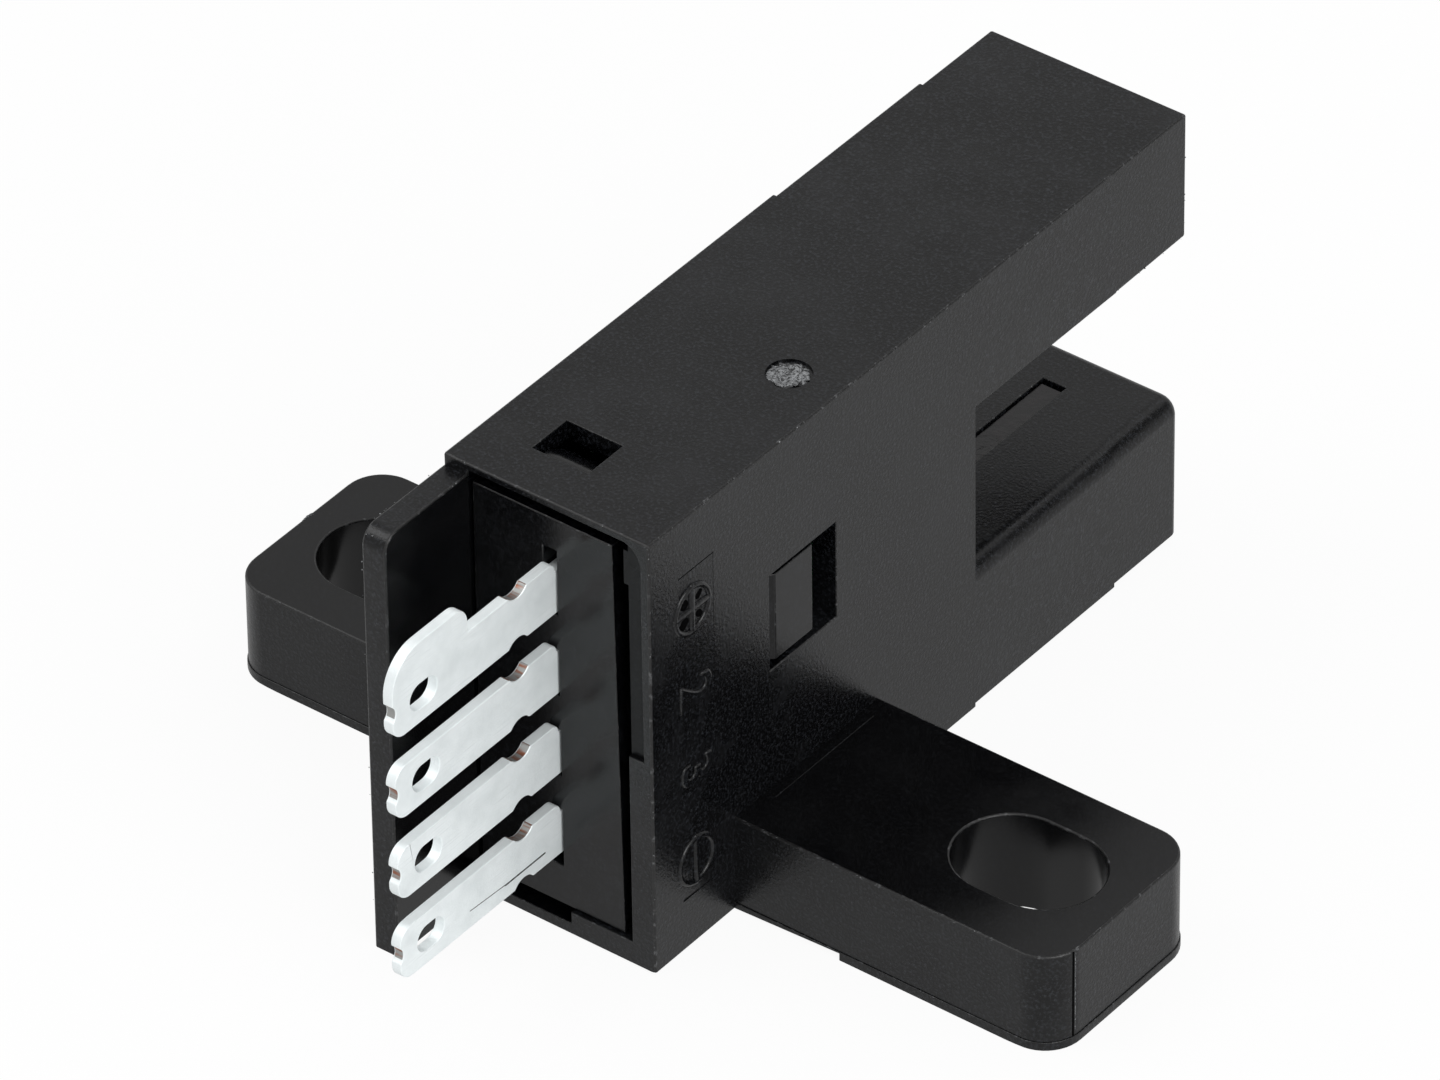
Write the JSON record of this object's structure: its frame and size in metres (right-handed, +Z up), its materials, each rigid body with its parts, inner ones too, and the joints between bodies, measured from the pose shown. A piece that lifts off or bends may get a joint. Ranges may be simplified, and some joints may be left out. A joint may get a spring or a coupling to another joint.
{
  "type": "photo interrupter",
  "caption": "Slot-type photo interrupter: a T-shaped black case with a pronged sensing slot, mounting ears with slotted holes and a row of blade terminals beside a guard wall.",
  "frame": {"origin": "on the mounting face, midway between the centres of the slotted mounting holes", "axes": "+X along the mounting ears, away from the guard wall; +Y from the terminals to the open end of the sensing slot; +Z up, from the mounting face through both prongs"},
  "size_m": [0.026, 0.0284, 0.0134],
  "materials": {
    "case_plastic": "fine spark-eroded texture, black",
    "base_plastic": "smooth black moulding",
    "tinned_brass": "satin tin plate over stamped copper alloy",
    "board_laminate": "green solder resist on glass laminate",
    "emitter_resin": "clear moulded epoxy, faintly blue",
    "receiver_resin": "black infrared-pass epoxy",
    "tinned_lead": "tinned lead frame",
    "filter_plastic": "dark infrared-pass plastic",
    "resistor_ceramic": "glazed black film on white ceramic",
    "capacitor_ceramic": "tan ceramic",
    "lamp_resin": "clear resin over a white chip carrier",
    "component_epoxy": "black moulding compound"
  },
  "bodies": {
    "root": {"housing": "case_plastic", "terminal_base": "base_plastic", "terminal_1": "tinned_brass", "terminal_2": "tinned_brass", "terminal_3": "tinned_brass", "terminal_4": "tinned_brass", "circuit_board": "board_laminate", "emitter_package": "emitter_resin", "receiver_package": "receiver_resin", "emitter_anode_lead": "tinned_lead", "emitter_cathode_lead": "tinned_lead", "receiver_supply_lead": "tinned_lead", "receiver_output_lead": "tinned_lead", "receiver_ground_lead": "tinned_lead", "emitter_filter": "filter_plastic", "receiver_filter": "filter_plastic", "pull_up_resistor": "resistor_ceramic", "emitter_resistor": "resistor_ceramic", "lamp_resistor": "resistor_ceramic", "supply_capacitor": "capacitor_ceramic", "indicator_lamp": "lamp_resin", "output_transistor": "component_epoxy", "supply_diode": "component_epoxy"}
  },
  "joints": []
}
